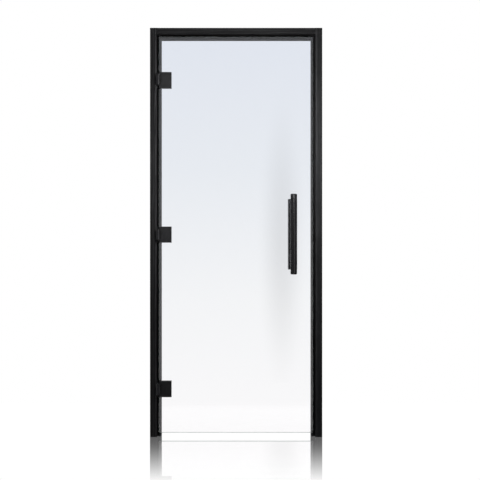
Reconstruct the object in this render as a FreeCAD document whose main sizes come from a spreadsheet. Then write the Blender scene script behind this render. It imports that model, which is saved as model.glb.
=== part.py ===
import FreeCAD, Part
import math
import os
import re

import Sketcher

# Glass sauna door in a black timber frame, hung on three clamp hinges.
# Millimetres. X runs from the hinge jamb's outer face to the latch side, Y from the bather's
# side (front, minus) into the sauna, Z up from the floor. Y is zero at mid-depth of the frame.

SIZES = {
    # Timber frame: two full-height jambs with the head scribed between them
    "frame_width": 800,
    "frame_height": 1900,
    "frame_depth": 60,
    "rebate_depth": 20,
    "jamb_lip": 32,
    "jamb_stop": 50,
    "head_lip": 30,
    "head_stop": 48,
    "arris_radius": 1.5,
    # Fixing holes through each jamb into the wall
    "fixing_end": 155,
    "fixing_count": 4,
    "fixing_bore": 7,
    "fixing_head": 14,
    "fixing_head_depth": 10,
    # Glass leaf
    "glass_thickness": 8,
    "glass_setback": 4,
    "glass_corner": 4,
    "glass_arris": 0.8,
    "hinge_gap": 8,
    "latch_gap": 10,
    "head_gap": 10,
    "floor_gap": 20,
    # Silicone seal: a foot in the stop's groove, a flange on its face and a hollow bulb
    "groove_width": 3,
    "groove_depth": 6,
    "seal_width": 7,
    "seal_flange": 1.6,
    "seal_wall": 1,
    "seal_play": 0.1,
    "seal_gap": 0.3,
    # Hinges
    "hinge_inset": 203,
    "hinge_height": 75,
    "plate_edge": 1,
    "plate_reach": 59.5,
    "plate_thickness": 6,
    "plate_chamfer": 1,
    "gasket_thickness": 1,
    "gasket_inset": 1,
    "clamp_edge": 15.5,
    "barrel_radius": 9,
    "barrel_height": 48,
    "barrel_gap": 1.5,
    "knuckle_height": 22,
    "knuckle_gap": 0.3,
    "pin_radius": 3,
    "pin_seat": 0.02,
    "pin_play": 0.06,
    "pin_head_radius": 6,
    "pin_head": 2,
    "strap_thickness": 2.5,
    "strap_gap": 0.3,
    "wood_screw_bore": 4.4,
    "wood_screw_pitch": 50,
    "clamp_screw_radius": 3,
    "clamp_head_radius": 5,
    "clamp_head_depth": 3.2,
    "clamp_screw_pitch": 40,
    "clamp_screw_inset": 22,
    "clamp_thread": 4,
    "screw_play": 0.1,
    "glass_bore": 16,
    # Pull handle: a round grip outside, a flat grip inside, on two pairs of posts
    "handle_inset": 93,
    "handle_height": 942,
    "post_pitch": 224,
    "post_radius": 8,
    "post_length": 30,
    "post_seat": 8,
    "washer_radius": 17,
    "washer_thickness": 2,
    "stud_radius": 4,
    "stud_depth": 16,
    "handle_bore": 12,
    "grip_radius": 15,
    "grip_length": 370,
    "grip_chamfer": 3,
    "inner_grip_width": 43,
    "inner_grip_thickness": 22,
    "inner_grip_length": 331,
    "inner_grip_chamfer": 1.5,
}

doc = FreeCAD.newDocument("SaunaDoor")
sheet = doc.addObject("Spreadsheet::Sheet", "Sizes")
for row, (alias, size) in enumerate(SIZES.items(), start=1):
    sheet.set(f"A{row}", alias)
    sheet.set(f"B{row}", str(size))
    sheet.setAlias(f"B{row}", alias)
doc.recompute()

# Places that several pieces share, as expressions on the sheet's sizes
FRONT = "(-frame_depth / 2)"
STOP_FACE = f"({FRONT} + rebate_depth)"
GLASS_LEFT = "(jamb_lip + hinge_gap)"
GLASS_RIGHT = "(frame_width - jamb_lip - latch_gap)"
GLASS_TOP = "(frame_height - head_lip - head_gap)"
GLASS_FRONT = f"({FRONT} + glass_setback)"
GLASS_BACK = f"({GLASS_FRONT} + glass_thickness)"
BARREL_TO_PLATE = "(barrel_radius + barrel_gap)"
BARREL_TO_GLASS = f"({BARREL_TO_PLATE} + plate_thickness + gasket_thickness)"
BARREL_TO_BACK = f"({BARREL_TO_GLASS} + glass_thickness)"
HINGE_Y = f"({GLASS_FRONT} - {BARREL_TO_GLASS})"
SEAL_REACH = f"({STOP_FACE} - {GLASS_BACK} - seal_gap)"
HANDLE_X = f"({GLASS_RIGHT} - handle_inset)"
HINGE_HEIGHTS = {
    "bottom": "(floor_gap + hinge_inset)",
    "middle": f"((floor_gap + {GLASS_TOP}) / 2)",
    "top": f"({GLASS_TOP} - hinge_inset)",
}


def tied(text):
    """The expression with each size's name pointing at the sheet."""
    return re.sub(r"[a-z][a-z_]+", r"Sizes.\g<0>", text)


def tie(target, path, text):
    target.setExpression(path, tied(text))


def place(piece, x="0", y="0", z="0"):
    for axis, text in zip("xyz", (x, y, z)):
        tie(piece, f"Placement.Base.{axis}", text)


def new_body(name, x="0", y="0", z="0"):
    body = doc.addObject("PartDesign::Body", name)
    body.Label = name
    place(body, x, y, z)
    return body


def new_sketch(body, role, offset="0"):
    """Sketch on one of the body's own origin planes, moved along the plane's normal."""
    sketch = body.newObject("Sketcher::SketchObject", "Sketch")
    plane = next(item for item in body.Origin.OriginFeatures if item.Role == role)
    sketch.AttachmentSupport = (plane, "")
    sketch.MapMode = "FlatFace"
    tie(sketch, "AttachmentOffset.Base.z", offset)
    return sketch


def fix_point(sketch, line, end, x, y):
    """Holds one end of a line, or a circle's centre, at x and y from the sketch's origin."""
    for kind, axis, text in (("DistanceX", -2, x), ("DistanceY", -1, y)):
        if text == "0":
            sketch.addConstraint(Sketcher.Constraint("PointOnObject", line, end, axis))
            continue
        number = sketch.addConstraint(Sketcher.Constraint(kind, -1, 1, line, end, 1.0))
        tie(sketch, f"Constraints[{number}]", text)


def outline(sketch, corners):
    """Closed run of straight lines through the corners, each tied to the sheet."""
    count = len(corners)
    ring = []
    for index in range(count):
        angle = 2 * math.pi * index / count
        ring.append(FreeCAD.Vector(10 * math.cos(angle), 10 * math.sin(angle), 0))
    first = sketch.GeometryCount
    for index in range(count):
        sketch.addGeometry(Part.LineSegment(ring[index], ring[(index + 1) % count]))
    for index in range(count):
        after = first + (index + 1) % count
        sketch.addConstraint(Sketcher.Constraint("Coincident", first + index, 2, after, 1))
    for index, (x, y) in enumerate(corners):
        fix_point(sketch, first + index, 1, x, y)


def rectangle(sketch, left, right, low, high):
    outline(sketch, [(left, low), (right, low), (right, high), (left, high)])


def circle(sketch, radius, x="0", y="0"):
    up = FreeCAD.Vector(0, 0, 1)
    line = sketch.addGeometry(Part.Circle(FreeCAD.Vector(0, 0, 0), up, 1.0))
    number = sketch.addConstraint(Sketcher.Constraint("Radius", line, 1.0))
    tie(sketch, f"Constraints[{number}]", radius)
    fix_point(sketch, line, 3, x, y)


def pad(body, sketch, length, midplane=False, reverse=False):
    feature = body.newObject("PartDesign::Pad", "Pad")
    feature.Profile = sketch
    feature.Midplane = midplane
    feature.Reversed = reverse
    tie(feature, "Length", length)
    doc.recompute()
    return feature


def pocket(body, sketch, length=None, midplane=False, reverse=False):
    """Cuts the sketch's outline out, right through where no length is given."""
    before = body.Shape.Volume
    feature = body.newObject("PartDesign::Pocket", "Pocket")
    feature.Profile = sketch
    feature.Midplane = midplane
    feature.Reversed = reverse
    if length is None:
        feature.Type = "ThroughAll"
    else:
        tie(feature, "Length", length)
    doc.recompute()
    if body.Shape.Volume > before - 0.01:
        raise RuntimeError(f"{body.Label}: a pocket cuts nothing")
    return feature


def revolve(body, sketch, axis="V_Axis"):
    feature = body.newObject("PartDesign::Revolution", "Revolution")
    feature.Profile = sketch
    feature.ReferenceAxis = (sketch, [axis])
    feature.Angle = 360
    doc.recompute()
    return feature


def soften(body, kind, size, keep):
    """Fillet or chamfer on those edges of the body's last feature that keep(edge) accepts."""
    base = body.Tip
    names = []
    for number, edge in enumerate(base.Shape.Edges, start=1):
        if keep(edge):
            names.append(f"Edge{number}")
    if not names:
        raise RuntimeError(f"{body.Label}: no edge to soften")
    feature = body.newObject(f"PartDesign::{kind}", kind)
    feature.Base = (base, names)
    tie(feature, "Radius" if kind == "Fillet" else "Size", size)
    doc.recompute()
    return feature


def repeat(body, feature, role, length, count):
    """Row of the feature along one of the body's origin axes, over the length."""
    row = body.newObject("PartDesign::LinearPattern", "LinearPattern")
    axis = next(item for item in body.Origin.OriginFeatures if item.Role == role)
    row.Originals = [feature]
    row.Direction = (axis, [""])
    tie(row, "Length", length)
    tie(row, "Occurrences", count)
    body.Tip = row
    doc.recompute()
    return row


def runs_along(edge, axis):
    """True for a straight edge parallel to the axis."""
    if edge.Curve.TypeId != "Part::GeomLine":
        return False
    return abs(edge.Curve.Direction.dot(axis)) > 0.999


def lies_at(edge, axis, value):
    """True where the whole edge has this coordinate along the axis."""
    box = edge.BoundBox
    low = FreeCAD.Vector(box.XMin, box.YMin, box.ZMin).dot(axis)
    high = FreeCAD.Vector(box.XMax, box.YMax, box.ZMax).dot(axis)
    return abs(low - value) < 0.001 and abs(high - value) < 0.001


ALONG_X = FreeCAD.Vector(1, 0, 0)
ALONG_Y = FreeCAD.Vector(0, 1, 0)
ALONG_Z = FreeCAD.Vector(0, 0, 1)


def value(alias):
    return float(sheet.get(alias))


# Timber frame


def jamb(name, x, side, gap):
    """Upright with a front lip, a stop behind the glass and a groove for the seal.

    The profile starts at the outer face and front corner; side is the sign of its inward X.
    """
    body = new_body(name, x, FRONT)
    overlap = f"(jamb_lip + {gap} + jamb_stop) / 2"
    groove_out = f"{side}({overlap} - groove_width / 2)"
    groove_in = f"{side}({overlap} + groove_width / 2)"
    groove_back = "rebate_depth + groove_depth"
    profile = new_sketch(body, "XY_Plane")
    outline(profile, [
        ("0", "0"),
        (f"{side}jamb_lip", "0"),
        (f"{side}jamb_lip", "rebate_depth"),
        (groove_out, "rebate_depth"),
        (groove_out, groove_back),
        (groove_in, groove_back),
        (groove_in, "rebate_depth"),
        (f"{side}jamb_stop", "rebate_depth"),
        (f"{side}jamb_stop", "frame_depth"),
        ("0", "frame_depth"),
    ])
    pad(body, profile, "frame_height")
    sign = -1 if side else 1
    outer = {(0, 0), (0, value("frame_depth"))}
    lip = {(sign * value("jamb_lip"), 0)}
    stop = {(sign * value("jamb_stop"), value("rebate_depth")),
            (sign * value("jamb_stop"), value("frame_depth"))}
    corners = outer | lip | stop

    def is_arris(edge):
        if not runs_along(edge, ALONG_Z):
            return False
        point = edge.Vertexes[0].Point
        return any(math.hypot(point.x - x0, point.y - y0) < 0.01 for x0, y0 in corners)

    soften(body, "Fillet", "arris_radius", is_arris)
    hole_y = "(rebate_depth + frame_depth) / 2"
    bore = new_sketch(body, "YZ_Plane", f"{side}jamb_stop")
    circle(bore, "fixing_bore / 2", hole_y, "fixing_end")
    first = pocket(body, bore, "jamb_stop", reverse=bool(side))
    row = "frame_height - 2 * fixing_end"
    repeat(body, first, "Z_Axis", row, "fixing_count")
    head = new_sketch(body, "YZ_Plane", f"{side}jamb_stop")
    circle(head, "fixing_head / 2", hole_y, "fixing_end")
    second = pocket(body, head, "fixing_head_depth", reverse=bool(side))
    repeat(body, second, "Z_Axis", row, "fixing_count")
    return body


def head_rail():
    """Rail with the jambs' profile turned down, its stop cut back where it meets theirs."""
    body = new_body("head_rail", "jamb_lip", FRONT, "frame_height")
    overlap = "(head_lip + head_gap + head_stop) / 2"
    groove_high = f"-({overlap} - groove_width / 2)"
    groove_low = f"-({overlap} + groove_width / 2)"
    groove_back = "rebate_depth + groove_depth"
    profile = new_sketch(body, "YZ_Plane")
    outline(profile, [
        ("0", "0"),
        ("0", "-head_lip"),
        ("rebate_depth", "-head_lip"),
        ("rebate_depth", groove_high),
        (groove_back, groove_high),
        (groove_back, groove_low),
        ("rebate_depth", groove_low),
        ("rebate_depth", "-head_stop"),
        ("frame_depth", "-head_stop"),
        ("frame_depth", "0"),
    ])
    pad(body, profile, "frame_width - 2 * jamb_lip")
    corners = {
        (0, 0),
        (0, -value("head_lip")),
        (value("rebate_depth"), -value("head_stop")),
        (value("frame_depth"), -value("head_stop")),
        (value("frame_depth"), 0),
    }

    def is_arris(edge):
        if not runs_along(edge, ALONG_X):
            return False
        point = edge.Vertexes[0].Point
        return any(math.hypot(point.y - y0, point.z - z0) < 0.01 for y0, z0 in corners)

    soften(body, "Fillet", "arris_radius", is_arris)
    length = "(frame_width - 2 * jamb_lip)"
    scribe = "(jamb_stop - jamb_lip)"
    ends = new_sketch(body, "XY_Plane")
    back = "frame_depth + 1"
    rectangle(ends, "-1", scribe, "rebate_depth", back)
    rectangle(ends, f"{length} - {scribe}", f"{length} + 1", "rebate_depth", back)
    pocket(body, ends)
    return body


def seal_x(gap):
    """Middle of the glass's overlap on the stop, from the jamb's outer face."""
    return f"((jamb_lip + {gap} + jamb_stop) / 2)"


def seal(body, role, length, trim, turn):
    """Flange on the stop's face, hollow bulb out to the glass and foot in the stop's groove.

    turn puts a place across the face and a depth behind it into the sketch's own X and Y;
    trim is how much shorter the foot is at each end.
    """
    half = "(seal_width / 2)"
    flange = new_sketch(body, role)
    outline(flange, [
        turn(f"-{half}", "-seal_flange"),
        turn(half, "-seal_flange"),
        turn(half, "0"),
        turn(f"-{half}", "0"),
    ])
    pad(body, flange, length)
    half_foot = "(groove_width / 2 - seal_play)"
    depth = "(groove_depth - seal_gap)"
    foot = new_sketch(body, role, trim)
    outline(foot, [
        turn(f"-{half_foot}", "-seal_flange"),
        turn(half_foot, "-seal_flange"),
        turn(half_foot, depth),
        turn(f"-{half_foot}", depth),
    ])
    pad(body, foot, f"{length} - 2 * {trim}")
    centre = f"-({SEAL_REACH} - {half})"
    ring = new_sketch(body, role)
    circle(ring, half, *turn("0", centre))
    pad(body, ring, length)
    bore = new_sketch(body, role)
    circle(bore, f"{half} - seal_wall", *turn("0", centre))
    pocket(body, bore, reverse=True)


def side_seal(name, x):
    """Seal up a jamb, from the floor to level with the head's seal."""
    body = new_body(name, x, STOP_FACE)
    length = "(frame_height - (head_lip + head_gap + head_stop - seal_width) / 2)"
    seal(body, "XY_Plane", length, "0", lambda across, depth: (across, depth))


def head_seal():
    """Seal under the head, between the side seals; its foot ends at the jambs' stops."""
    start = f"({seal_x('hinge_gap')} + seal_width / 2 + seal_gap)"
    end = f"(frame_width - {seal_x('latch_gap')} - seal_width / 2 - seal_gap)"
    height = "frame_height - (head_lip + head_gap + head_stop) / 2"
    body = new_body("head_seal", start, STOP_FACE, height)
    trim = f"(jamb_stop + seal_play - {start})"
    seal(body, "YZ_Plane", f"({end} - {start})", trim, lambda across, depth: (depth, across))


# Hinges; each of these bodies has its origin on the pin's axis at the hinge's mid-height


def at_hinge(name, where):
    return new_body(f"{where}_hinge_{name}", GLASS_LEFT, HINGE_Y, HINGE_HEIGHTS[where])


def screw_rows():
    return ("clamp_screw_pitch / 2", "-clamp_screw_pitch / 2")


def frame_leaf(where):
    """Fixed leaf: a strap on the lip's side, and the barrel's upper and lower knuckles."""
    body = at_hinge("frame_leaf", where)
    outer = "-hinge_gap"
    inner = "(strap_thickness - hinge_gap)"
    lip_front = f"({FRONT} - {HINGE_Y})"
    strap_back = f"({STOP_FACE} - {HINGE_Y} - strap_gap)"
    barrel = new_sketch(body, "XY_Plane")
    circle(barrel, "barrel_radius")
    pad(body, barrel, "barrel_height", midplane=True)
    neck = new_sketch(body, "XY_Plane")
    rectangle(neck, outer, inner, "0", f"{lip_front} + strap_gap")
    pad(body, neck, "barrel_height", midplane=True)
    strap = new_sketch(body, "XY_Plane")
    rectangle(strap, outer, inner, lip_front, strap_back)
    pad(body, strap, "hinge_height", midplane=True)
    gap = new_sketch(body, "XY_Plane")
    clear = "(barrel_radius + barrel_gap)"
    rectangle(gap, f"-{clear}", clear, f"-{clear}", lip_front)
    pocket(body, gap, "knuckle_height + 2 * knuckle_gap", midplane=True)
    bore = new_sketch(body, "XY_Plane", "barrel_height")
    circle(bore, "pin_radius + pin_seat")
    pocket(body, bore)
    screws = new_sketch(body, "YZ_Plane")
    for height in ("wood_screw_pitch / 2", "-wood_screw_pitch / 2"):
        circle(screws, "wood_screw_bore / 2", f"({lip_front} + {strap_back}) / 2", height)
    pocket(body, screws, "hinge_gap")
    return body


def hinge_pin(where):
    """Pin with a flat head over and under the barrel."""
    body = at_hinge("pin", where)
    half = "(barrel_height / 2)"
    end = f"({half} + pin_head)"
    profile = new_sketch(body, "XZ_Plane")
    outline(profile, [
        ("0", f"-{end}"),
        ("pin_head_radius", f"-{end}"),
        ("pin_head_radius", f"-{half}"),
        ("pin_radius", f"-{half}"),
        ("pin_radius", half),
        ("pin_head_radius", half),
        ("pin_head_radius", end),
        ("0", end),
    ])
    revolve(body, profile)
    return body


def glass_plate(where):
    """Moving leaf: outer clamp plate with the barrel's middle knuckle."""
    body = at_hinge("glass_plate", where)
    back = f"({BARREL_TO_PLATE} + plate_thickness)"
    plate = new_sketch(body, "XY_Plane")
    rectangle(plate, "plate_edge", "plate_reach", BARREL_TO_PLATE, back)
    pad(body, plate, "hinge_height", midplane=True)
    face = value("barrel_radius") + value("barrel_gap")
    soften(body, "Chamfer", "plate_chamfer", lambda edge: lies_at(edge, ALONG_Y, face))
    knuckle = new_sketch(body, "XY_Plane")
    circle(knuckle, "barrel_radius")
    pad(body, knuckle, "knuckle_height", midplane=True)
    neck = new_sketch(body, "XY_Plane")
    rectangle(neck, "plate_edge", "barrel_radius", "0", f"{BARREL_TO_PLATE} + plate_chamfer")
    pad(body, neck, "knuckle_height", midplane=True)
    bore = new_sketch(body, "XY_Plane")
    circle(bore, "pin_radius + pin_play")
    pocket(body, bore, "knuckle_height + 2", midplane=True)
    threads = new_sketch(body, "XZ_Plane", f"-{back}")
    for height in screw_rows():
        circle(threads, "clamp_screw_radius + screw_play",
               "plate_reach - clamp_screw_inset", height)
    pocket(body, threads, "clamp_thread", reverse=True)
    return body


def gasket(name, where, near, front):
    """Thin rubber sheet between a clamp plate and the glass, holed for the screws."""
    body = at_hinge(name, where)
    half = "(hinge_height / 2 - gasket_inset)"
    sheet_outline = new_sketch(body, "XZ_Plane", f"-{front}")
    rectangle(sheet_outline, f"{near} + gasket_inset", "plate_reach - gasket_inset",
              f"-{half}", half)
    for height in screw_rows():
        circle(sheet_outline, "clamp_screw_radius + screw_play",
               "plate_reach - clamp_screw_inset", height)
    pad(body, sheet_outline, "gasket_thickness", reverse=True)
    return body


def clamp_plate(where):
    """Inner plate with two counterbored holes."""
    body = at_hinge("clamp_plate", where)
    front = f"({BARREL_TO_BACK} + gasket_thickness)"
    half = "(hinge_height / 2)"
    plate = new_sketch(body, "XZ_Plane", f"-{front}")
    rectangle(plate, "clamp_edge", "plate_reach", f"-{half}", half)
    pad(body, plate, "plate_thickness", reverse=True)
    back_face = max(vertex.Y for vertex in body.Shape.Vertexes)
    back_local = back_face - body.Placement.Base.y
    soften(body, "Chamfer", "plate_chamfer", lambda edge: lies_at(edge, ALONG_Y, back_local))
    holes = new_sketch(body, "XZ_Plane", f"-{front}")
    for height in screw_rows():
        circle(holes, "clamp_screw_radius + screw_play",
               "plate_reach - clamp_screw_inset", height)
    pocket(body, holes, "plate_thickness")
    seats = new_sketch(body, "XZ_Plane", f"-({front} + plate_thickness - clamp_head_depth)")
    for height in screw_rows():
        circle(seats, "clamp_head_radius + screw_play",
               "plate_reach - clamp_screw_inset", height)
    pocket(body, seats, "clamp_head_depth")
    return body


def clamp_screws(where):
    """Two sunk cap screws from the inner plate into the outer one."""
    body = at_hinge("clamp_screws", where)
    body.AllowCompound = True
    back = f"({BARREL_TO_BACK} + gasket_thickness + plate_thickness)"
    tip = f"({BARREL_TO_PLATE} + plate_thickness - clamp_thread + seal_gap)"
    x0 = "(plate_reach - clamp_screw_inset)"
    profile = new_sketch(body, "XY_Plane", "-clamp_screw_pitch / 2")
    outline(profile, [
        (x0, tip),
        (f"{x0} + clamp_screw_radius", tip),
        (f"{x0} + clamp_screw_radius", f"{back} - clamp_head_depth"),
        (f"{x0} + clamp_head_radius", f"{back} - clamp_head_depth"),
        (f"{x0} + clamp_head_radius", back),
        (x0, back),
    ])
    screw = body.newObject("PartDesign::Revolution", "Revolution")
    screw.Profile = profile
    screw.ReferenceAxis = (profile, ["Edge6"])
    screw.Angle = 360
    doc.recompute()
    repeat(body, screw, "Z_Axis", "clamp_screw_pitch", "2")
    return body


# Leaf and handle


def glass_leaf():
    """Toughened pane with drilled holes, rounded corners and ground arrises."""
    body = new_body("glass_leaf", GLASS_LEFT, GLASS_FRONT, "floor_gap")
    width = f"({GLASS_RIGHT} - {GLASS_LEFT})"
    height = f"({GLASS_TOP} - floor_gap)"
    pane = new_sketch(body, "XZ_Plane")
    rectangle(pane, "0", width, "0", height)
    pad(body, pane, "glass_thickness", reverse=True)
    soften(body, "Fillet", "glass_corner", lambda edge: runs_along(edge, ALONG_Y))
    thick = value("glass_thickness")
    soften(body, "Chamfer", "glass_arris",
           lambda edge: lies_at(edge, ALONG_Y, 0) or lies_at(edge, ALONG_Y, thick))
    holes = new_sketch(body, "XZ_Plane")
    for centre in HINGE_HEIGHTS.values():
        for height in screw_rows():
            circle(holes, "glass_bore / 2", "plate_reach - clamp_screw_inset",
                   f"{centre} - floor_gap + {height}")
    for height in ("post_pitch / 2", "-post_pitch / 2"):
        circle(holes, "handle_bore / 2", f"{HANDLE_X} - {GLASS_LEFT}",
               f"handle_height - floor_gap + {height}")
    pocket(body, holes, "glass_thickness")
    return body


def outer_grip():
    """Round bar with bevelled ends and two blind seats for the posts."""
    y = f"{GLASS_FRONT} - washer_thickness - post_length - grip_radius"
    body = new_body("outer_grip", HANDLE_X, y, "handle_height")
    half = "(grip_length / 2)"
    profile = new_sketch(body, "XZ_Plane")
    rectangle(profile, "0", "grip_radius", f"-{half}", half)
    revolve(body, profile)
    end = value("grip_length") / 2
    soften(body, "Chamfer", "grip_chamfer",
           lambda edge: edge.Curve.TypeId == "Part::GeomCircle"
           and (lies_at(edge, ALONG_Z, end) or lies_at(edge, ALONG_Z, -end)))
    seats = new_sketch(body, "XZ_Plane", "-grip_radius")
    for height in ("post_pitch / 2", "-post_pitch / 2"):
        circle(seats, "post_radius + screw_play", "0", height)
    pocket(body, seats, "post_seat", reverse=True)
    return body


def inner_grip():
    """Flat bar with bevelled edges, shorter than the outer one."""
    front = f"{GLASS_BACK} + washer_thickness + post_length"
    body = new_body("inner_grip", HANDLE_X, front, "handle_height")
    half_width = "(inner_grip_width / 2)"
    half = "(inner_grip_length / 2)"
    bar = new_sketch(body, "XZ_Plane")
    rectangle(bar, f"-{half_width}", half_width, f"-{half}", half)
    pad(body, bar, "inner_grip_thickness", reverse=True)
    soften(body, "Chamfer", "inner_grip_chamfer", lambda edge: True)
    seats = new_sketch(body, "XZ_Plane")
    for height in ("post_pitch / 2", "-post_pitch / 2"):
        circle(seats, "post_radius + screw_play", "0", height)
    pocket(body, seats, "post_seat")
    return body


def handle_pair(name, y, corners):
    """Two turned pieces on the handle's two axes, from half a section each."""
    low = "handle_height - post_pitch / 2"
    body = new_body(name, HANDLE_X, y, low)
    body.AllowCompound = True
    profile = new_sketch(body, "XY_Plane")
    outline(profile, corners)
    piece = body.newObject("PartDesign::Revolution", "Revolution")
    axis = next(item for item in body.Origin.OriginFeatures if item.Role == "Y_Axis")
    piece.Profile = profile
    piece.ReferenceAxis = (axis, [""])
    piece.Angle = 360
    doc.recompute()
    repeat(body, piece, "Z_Axis", "post_pitch", "2")
    return body


def post_section(length, stud):
    """Post from the washer into its grip, drilled for the stud at the washer's end."""
    bore = "(stud_radius + screw_play)"
    return [
        (bore, "0"),
        ("post_radius", "0"),
        ("post_radius", length),
        ("0", length),
        ("0", stud),
        (bore, stud),
    ]


def handle_fittings():
    seat_gap = "seal_gap"
    out = f"-(post_length + post_seat - {seat_gap})"
    handle_pair("outer_posts", f"{GLASS_FRONT} - washer_thickness",
                post_section(out, "-stud_depth"))
    handle_pair("inner_posts", f"{GLASS_BACK} + washer_thickness",
                post_section(f"(post_length + post_seat - {seat_gap})", "stud_depth"))
    bore = "(stud_radius + screw_play)"
    for name, face, side in (("outer_washers", GLASS_FRONT, "-"), ("inner_washers", GLASS_BACK, "")):
        handle_pair(name, face, [
            (bore, "0"),
            ("washer_radius", "0"),
            ("washer_radius", f"{side}washer_thickness"),
            (bore, f"{side}washer_thickness"),
        ])
    reach = "(washer_thickness + stud_depth - seal_gap)"
    handle_pair("handle_studs", GLASS_FRONT, [
        ("0", f"-{reach}"),
        ("stud_radius", f"-{reach}"),
        ("stud_radius", f"glass_thickness + {reach}"),
        ("0", f"glass_thickness + {reach}"),
    ])


def build():
    jamb("hinge_jamb", "0", "", "hinge_gap")
    jamb("latch_jamb", "frame_width", "-", "latch_gap")
    head_rail()
    side_seal("hinge_side_seal", seal_x("hinge_gap"))
    side_seal("latch_side_seal", f"frame_width - {seal_x('latch_gap')}")
    head_seal()
    for where in HINGE_HEIGHTS:
        frame_leaf(where)
        hinge_pin(where)
        glass_plate(where)
        gasket("outer_gasket", where, "plate_edge", f"({BARREL_TO_PLATE} + plate_thickness)")
        gasket("inner_gasket", where, "clamp_edge", BARREL_TO_BACK)
        clamp_plate(where)
        clamp_screws(where)
    glass_leaf()
    outer_grip()
    inner_grip()
    handle_fittings()


def check_and_write():
    """Every object sound and every sub-part valid before any file is written."""
    doc.recompute()
    for item in doc.Objects:
        if "Invalid" in item.State or "Error" in item.State:
            raise RuntimeError(f"{item.Label} failed: {item.State}")
    bodies = [item for item in doc.Objects if item.TypeId == "PartDesign::Body"]
    for body in bodies:
        if body.Shape.isNull() or not body.Shape.isValid():
            raise RuntimeError(f"{body.Label} has no sound shape")
    os.makedirs("parts", exist_ok=True)
    for body in bodies:
        body.Shape.exportStep(os.path.join("parts", f"{body.Label}.step"))
        print(body.Label, len(body.Shape.Solids), round(body.Shape.Volume, 1))


build()
check_and_write()
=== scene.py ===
import math

import bpy
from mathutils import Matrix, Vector


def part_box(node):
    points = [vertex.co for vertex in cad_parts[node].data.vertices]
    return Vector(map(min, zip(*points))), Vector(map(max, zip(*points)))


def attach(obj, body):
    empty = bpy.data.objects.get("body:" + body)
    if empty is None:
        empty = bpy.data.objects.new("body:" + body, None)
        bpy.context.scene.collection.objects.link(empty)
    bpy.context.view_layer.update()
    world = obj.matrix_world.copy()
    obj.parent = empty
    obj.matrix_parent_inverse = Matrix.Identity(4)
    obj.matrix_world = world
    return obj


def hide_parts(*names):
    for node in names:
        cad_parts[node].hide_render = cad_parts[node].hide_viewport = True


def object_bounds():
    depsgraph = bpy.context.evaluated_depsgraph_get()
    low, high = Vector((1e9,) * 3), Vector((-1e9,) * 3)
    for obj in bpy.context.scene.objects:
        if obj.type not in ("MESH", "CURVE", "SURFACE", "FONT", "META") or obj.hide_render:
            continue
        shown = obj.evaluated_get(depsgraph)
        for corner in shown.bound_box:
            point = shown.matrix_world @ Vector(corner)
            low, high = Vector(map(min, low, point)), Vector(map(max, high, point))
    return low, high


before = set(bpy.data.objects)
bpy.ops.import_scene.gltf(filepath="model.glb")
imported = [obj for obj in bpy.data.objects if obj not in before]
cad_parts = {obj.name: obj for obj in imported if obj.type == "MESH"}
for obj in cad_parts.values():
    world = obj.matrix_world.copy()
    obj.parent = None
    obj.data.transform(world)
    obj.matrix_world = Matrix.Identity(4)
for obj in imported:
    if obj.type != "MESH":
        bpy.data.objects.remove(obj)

bl_info = {
    "name": "Sauna door",
    "version": (1, 0, 0),
    "blender": (4, 5, 0),
    "location": "3D View > Sidebar > Sauna door",
    "description": "Finishes, hinge screws and studio for a glass sauna door",
    "category": "Object",
}

MM = 0.001
CAD_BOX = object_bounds()
JAMB_LOW, JAMB_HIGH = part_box("hinge_jamb")
PANE_LOW, PANE_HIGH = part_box("glass_leaf")
DOOR_WIDTH = CAD_BOX[1][0] - CAD_BOX[0][0]
DOOR_HEIGHT = JAMB_HIGH.z
HINGES = ("bottom", "middle", "top")
# Grain runs this much longer along the wood than across it.
GRAIN_STRETCH = 0.04
# Painted shade: the wood is painted darker this deep into the frame's rebate, where light fails.
PAINTED_REBATE_SHADE_REACH = 40 * MM
# Painted shade: hinge creases, such as the one between a barrel and its plate, are painted dark this
# far out.
PAINTED_CREASE_SHADE_REACH = 6 * MM
# Painted highlight: a lighter line painted along each lip's inner edge, where light catches it; its
# half width where it is lightest and where it ends, its distance from a lip's inner edge, and how
# much lighter it is.
PAINTED_HIGHLIGHT_WIDTH = (2 * MM, 6 * MM)
PAINTED_HIGHLIGHT_INSET = 5 * MM
PAINTED_HIGHLIGHT_LIFT = 0.8
# Middles of the growth rings that each piece of wood was cut from, in metres.
JAMB_PITH = (0.07, 0.09, 0.0)
RAIL_PITH = (0.0, 0.08, 1.95)
OUTER_GRIP_PITH = (0.64, -0.02, 0.0)
INNER_GRIP_PITH = (0.64, 0.06, 0.0)
GRIP_GRAIN_PITCH = 3.0
# sRGB hex colours of the small parts.
RUBBER_COLOUR = "#1c1c1c"
ZINC_DARK = "#2c2c30"
ZINC_LIGHT = "#45454a"
RECESS_WIDTH = 1.1 * MM
# Shank and cap overlap by this much before they are joined.
SHANK_OVERLAP = 1.0 * MM
# Inputs that both screw trees have for their places on the door.
SHARED_INPUTS = (("Screw Pitch", "Float"), ("Screw Count", "Int"), ("Hinge Pitch", "Float"),
                 ("Hinge Count", "Int"), ("First Screw", "Vector"))
# Share of the floor by the door that takes shadows, and a glow that makes the rest of it white.
SHEET_SHARE = 0.15
SHEET_GLOW = 1.13
SHEET_HALF_WIDTH = 6.0
# Satin surfaces seen through the pane show dark walls to rays that leave it at least this far
# sideways, or that have gone through it more often than once.
SIDEWAYS = 0.75
TWICE_THROUGH = 2.5
# Where the lamps stand, what they face and how large they are, in metres.
FRONT_PANEL_PLACE = (0.55, -0.88, 1.43)
FRONT_PANEL_AIM = (0.55, 0.0, 1.4)
FRONT_PANEL_SIZE = (0.6, 0.5)
BACK_SOFTBOX_PLACE = (0.8, 2.0, 1.6)
BACK_SOFTBOX_SIZE = (1.6, 1.6)
SIDE_SOFTBOX_AWAY = 2.2
SIDE_SOFTBOX_DEPTH = 0.35
SIDE_SOFTBOX_HEIGHT = 1.3
SIDE_SOFTBOX_SIZE = (0.8, 1.6)
# Gap between the hinge jamb's lip and the pane.
HINGE_GAP = 8.0 * MM
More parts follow.
